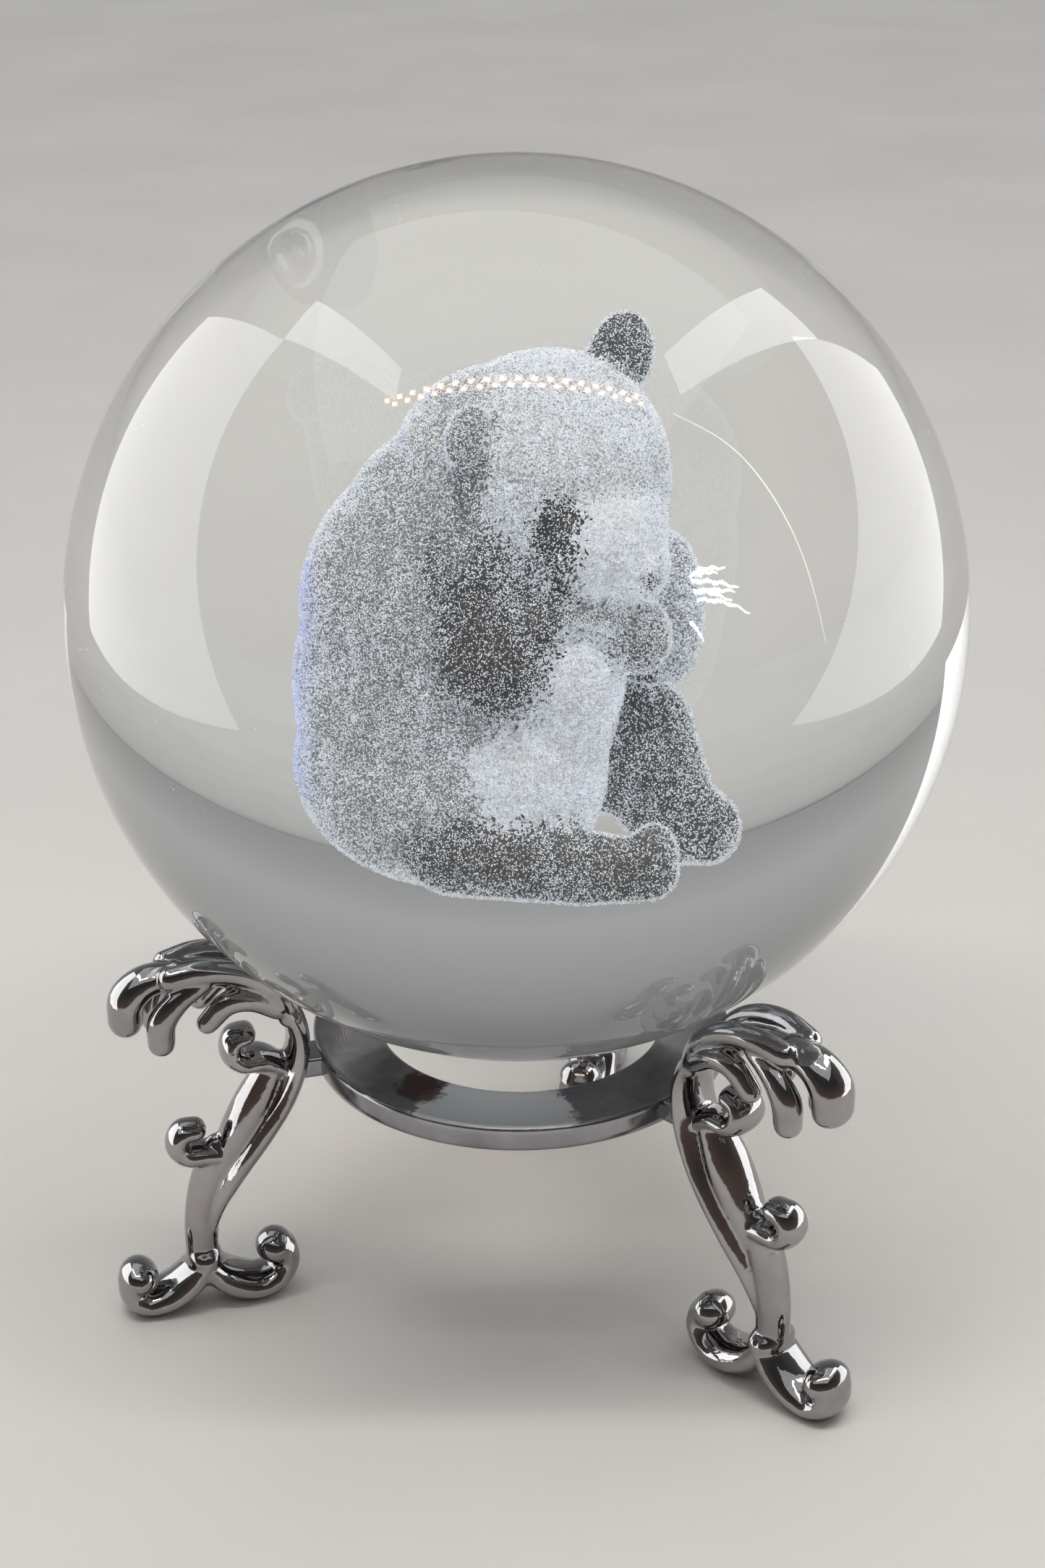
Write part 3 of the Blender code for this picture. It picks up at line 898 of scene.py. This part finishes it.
ring = seat_ring()
ring.data.materials.append(ring_finish)
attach(ring, "stand")
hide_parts("seat_ring")

BALL_DIVISIONS = 6
ball_mesh = bmesh.new()
bmesh.ops.create_icosphere(ball_mesh, subdivisions=BALL_DIVISIONS, radius=BALL_RADIUS)
bmesh.ops.translate(ball_mesh, verts=ball_mesh.verts, vec=BALL_CENTRE)
ball_data = bpy.data.meshes.new("crystal_sphere")
ball_mesh.to_mesh(ball_data)
ball_mesh.free()
ball_data.polygons.foreach_set("use_smooth", [True] * len(ball_data.polygons))
ball = bpy.data.objects.new("crystal_sphere", ball_data)
bpy.context.scene.collection.objects.link(ball)
ball.data.materials.append(crystal)
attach(ball, "ball")
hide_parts("glass_ball")

for piece in engraving(dot_tones, haze):
    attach(piece, "ball")

# Dust and one stray fibre lie on the glass, a hair's breadth inside the true sphere.
SPECKS = 150
SPECK_MM = 0.07
SKIN_MM = 0.06
FIBRE_MM = 0.05
FIBRE_SIDES = 8
# Directions from the ball's centre: right, towards, up.
FIBRE_WAY = [
    (0.30, 0.70, 0.66), (0.40, 0.70, 0.60), (0.47, 0.71, 0.52), (0.54, 0.74, 0.40), (0.59, 0.77, 0.22)]


def dust(finish):
    """Specks all over the glass, more of them on top."""
    rng = np.random.default_rng(SEED + 1)
    out = rng.normal(size=(SPECKS, 3))
    out[:, 2] = np.abs(out[:, 2]) * 1.2 - 0.25
    out /= np.linalg.norm(out, axis=1)[:, None]
    out *= BALL_RADIUS / MM - SKIN_MM - 2 * SPECK_MM
    sizes = SPECK_MM * (0.35 + 1.0 * rng.random(SPECKS) ** 2)
    return dot_cloud("glass_dust", out, sizes, np.zeros(SPECKS, int), [finish], rng)


def fibre(finish):
    """A thin curled fibre that follows the glass."""
    way = catmull(np.array(FIBRE_WAY), 12)
    way /= np.linalg.norm(way, axis=1)[:, None]
    way *= BALL_RADIUS / MM - SKIN_MM
    along = np.gradient(way, axis=0)
    along /= np.linalg.norm(along, axis=1)[:, None]
    out = way / np.linalg.norm(way, axis=1)[:, None]
    side = np.cross(along, out)
    vertices = []
    for i in range(len(way)):
        taper = FIBRE_MM * (0.35 + 0.65 * math.sin(math.pi * (i + 1) / (len(way) + 1)))
        for j in range(FIBRE_SIDES):
            turn = 2 * math.pi * j / FIBRE_SIDES
            vertices.append(way[i] + (out[i] * math.cos(turn) + side[i] * math.sin(turn)) * taper)
    faces = [face[::-1] for face in loft_faces(len(way), FIBRE_SIDES)]
    obj = new_object("glass_fibre", to_world(np.array(vertices)), faces)
    obj.data.materials.append(finish)
    return obj


# The lint has a painted glow too.
lint = dot_material("pale_lint", (0.90, 0.88, 0.82), 0.8)
for piece in (dust(lint), fibre(lint)):
    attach(piece, "ball")

# ---------------------------------------------------------------- stage
FLOOR_HALF = 4.0
SKY_BLEND = 0.35
corners = [(x * FLOOR_HALF, y * FLOOR_HALF, 0) for x, y in ((-1, -1), (1, -1), (1, 1), (-1, 1))]
floor = new_object("floor", corners, [(0, 1, 2, 3)], False)
floor.data.materials.append(floor_material())

world = bpy.data.worlds.new("studio")
bpy.context.scene.world = world
world.use_nodes = True
sky = world.node_tree.nodes
sky_links = world.node_tree.links
heading = sky.new("ShaderNodeTexCoord")
parts = sky.new("ShaderNodeSeparateXYZ")
sky_links.new(heading.outputs["Generated"], parts.inputs[0])
behind = sky.new("ShaderNodeVectorMath")
behind.operation = "DOT_PRODUCT"
behind.inputs[1].default_value = -TOWARDS
sky_links.new(heading.outputs["Generated"], behind.inputs[0])
pale = ramp_node(sky, sky_links, parts.outputs["Z"], [
    (0.0, (0.27, 0.27, 0.272)), (0.12, (0.36, 0.36, 0.363)), (0.4, (0.24, 0.24, 0.244)),
    (1.0, (0.07, 0.07, 0.073))])
dim = ramp_node(sky, sky_links, parts.outputs["Z"], [
    (0.0, (0.15, 0.118, 0.106)), (0.3, (0.11, 0.08, 0.07)), (0.6, (0.05, 0.05, 0.052)),
    (1.0, (0.07, 0.07, 0.073))])
turn_to_back = map_range(sky, sky_links, behind.outputs["Value"], 0.0, 1.0, -SKY_BLEND, SKY_BLEND)
backdrop = mixed(sky, sky_links, "RGBA", turn_to_back.outputs[0], dim.outputs[0], pale.outputs[0])
sky_links.new(backdrop, sky["Background"].inputs[0])
bpy.context.scene.view_settings.view_transform = "Standard"

RAYS = ("diffuse", "glossy", "transmission")


def panel(name, place, aim, width_mm, height_mm, radiance, rays=RAYS, colour=(1.0, 1.0, 1.0), roll=0.0):
    """A soft rectangular light that only the given rays see; its power follows from its area."""
    data = bpy.data.lights.new(name, "AREA")
    data.shape = "RECTANGLE"
    data.size = width_mm * MM
    data.size_y = height_mm * MM
    data.energy = radiance * math.pi * data.size * data.size_y
    data.color = colour
    obj = bpy.data.objects.new(name, data)
    obj.location = place
    obj.rotation_mode = "QUATERNION"
    facing = (Vector(aim) - Vector(place)).to_track_quat("-Z", "Y")
    obj.rotation_quaternion = facing @ Quaternion((0, 0, 1), math.radians(roll))
    obj.visible_camera = False
    obj.visible_diffuse = "diffuse" in rays
    obj.visible_glossy = "glossy" in rays
    obj.visible_transmission = "transmission" in rays
    bpy.context.scene.collection.objects.link(obj)


# The slanted windows at the sides are only mirrored, in chrome and glass. The slits are only seen
# through the ball's rim. The sheets stand a few millimetres apart, so that none hides another.
WALL_MM = 260.0
WALL_GAP_MM = 3.0
# Name, side, nearness, height, width, length, roll, radiance.
WINDOWS = [
    ("left_window", -1, -72, 77, 235, 502, 34, 2.1), ("left_band", -1, -22, 519, 370, 110, 44, 2.6),
    ("right_window", 1, -52, 38, 190, 493, 47, 2.1), ("right_band", 1, -102, 384, 347, 110, 38, 2.6),
]
for name, side, near, height, wide, tall, roll, radiance in WINDOWS:
    gap = WALL_GAP_MM * (1.5 if name.endswith("band") else 1.0)
    place = studio(side * (WALL_MM - gap), near, height)
    panel(name, place, studio(0, near, height), wide, tall, radiance, ("glossy",), roll=-side * roll)
SLIT_HEIGHT_MM = 190
SLIT_LENGTH_MM = 330
for name, side, near, wide, radiance in (("left_slit", -1, -128, 156, 1.45), ("right_slit", 1, -85, 45, 1.6)):
    place = studio(side * (WALL_MM - 2 * WALL_GAP_MM), near, SLIT_HEIGHT_MM)
    aim = studio(0, near, SLIT_HEIGHT_MM)
    panel(name, place, aim, wide, SLIT_LENGTH_MM, radiance, ("transmission",))

# A soft light hangs over the ball. The room lights everything from far above, and the ceiling just
# under it is what chrome and glass mirror.
ROOM_MM = 2600
panel("top", studio(0, 60, 620), studio(0, 0, 0), 520, 300, 0.45, ("diffuse", "transmission"))
panel("room", studio(0, -300, ROOM_MM), studio(0, -300, 0), 6000, 6000, 0.92, ("diffuse",))
panel("ceiling", studio(0, -300, ROOM_MM - 10), studio(0, -300, 0), 4000, 4000, 0.62, ("glossy",))

# A bar of small lamps in two rows, each with an orange halo just above it.
LAMPS = 36
LAMP_MM = 7.0
HALO_MM = 13.0
LAMP_SPAN_MM = 500.0
LAMP_HEIGHT_MM = 560
LAMP_TOWARDS_MM = 130
LAMP_ROW_GAP_MM = 15
HALO_ABOVE_MM = 2
LAMP_RADIANCE = 270
HALO_RADIANCE = 14
LAMP_COLOUR = (1.0, 0.93, 0.84)
HALO_COLOUR = (1.0, 0.34, 0.09)
for i in range(LAMPS):
    x = LAMP_SPAN_MM * (i / (LAMPS - 1) - 0.5)
    y = LAMP_TOWARDS_MM + LAMP_ROW_GAP_MM * (i % 2)
    aim = studio(x, y, 0)
    place = studio(x, y, LAMP_HEIGHT_MM)
    panel(f"lamp_{i}", place, aim, LAMP_MM, LAMP_MM, LAMP_RADIANCE, colour=LAMP_COLOUR)
    place = studio(x, y, LAMP_HEIGHT_MM + HALO_ABOVE_MM)
    panel(f"halo_{i}", place, aim, HALO_MM, HALO_MM, HALO_RADIANCE, ("glossy", "transmission"), HALO_COLOUR)


# ---------------------------------------------------------------- camera
def turned_about(vector, axis, angle):
    """The vector turned about the axis by an angle in radians."""
    return Matrix.Rotation(angle, 3, axis) @ vector


outwards = TOWARDS * math.cos(CAMERA_ELEVATION) + UP * math.sin(CAMERA_ELEVATION)
eye = BALL_CENTRE + outwards * CAMERA_DISTANCE_MM * MM
ahead = (BALL_CENTRE - eye).normalized()
across = RIGHT.copy()
above = across.cross(ahead)
ahead, across = turned_about(ahead, above, CAMERA_YAW), turned_about(across, above, CAMERA_YAW)
ahead, above = turned_about(ahead, across, CAMERA_PITCH), turned_about(above, across, CAMERA_PITCH)
across, above = turned_about(across, ahead, CAMERA_ROLL), turned_about(above, ahead, CAMERA_ROLL)
camera_data = bpy.data.cameras.new("camera")
camera_data.sensor_fit = "VERTICAL"
camera_data.sensor_height = SENSOR_MM
camera_data.sensor_width = SENSOR_MM
camera_data.lens = LENS_MM
camera_data.clip_start = 0.01
camera_data.clip_end = 50.0
camera = bpy.data.objects.new("camera", camera_data)
camera.matrix_world = Matrix((
    (across.x, above.x, -ahead.x, eye.x),
    (across.y, above.y, -ahead.y, eye.y),
    (across.z, above.z, -ahead.z, eye.z),
    (0, 0, 0, 1)))
bpy.context.scene.collection.objects.link(camera)
bpy.context.scene.camera = camera
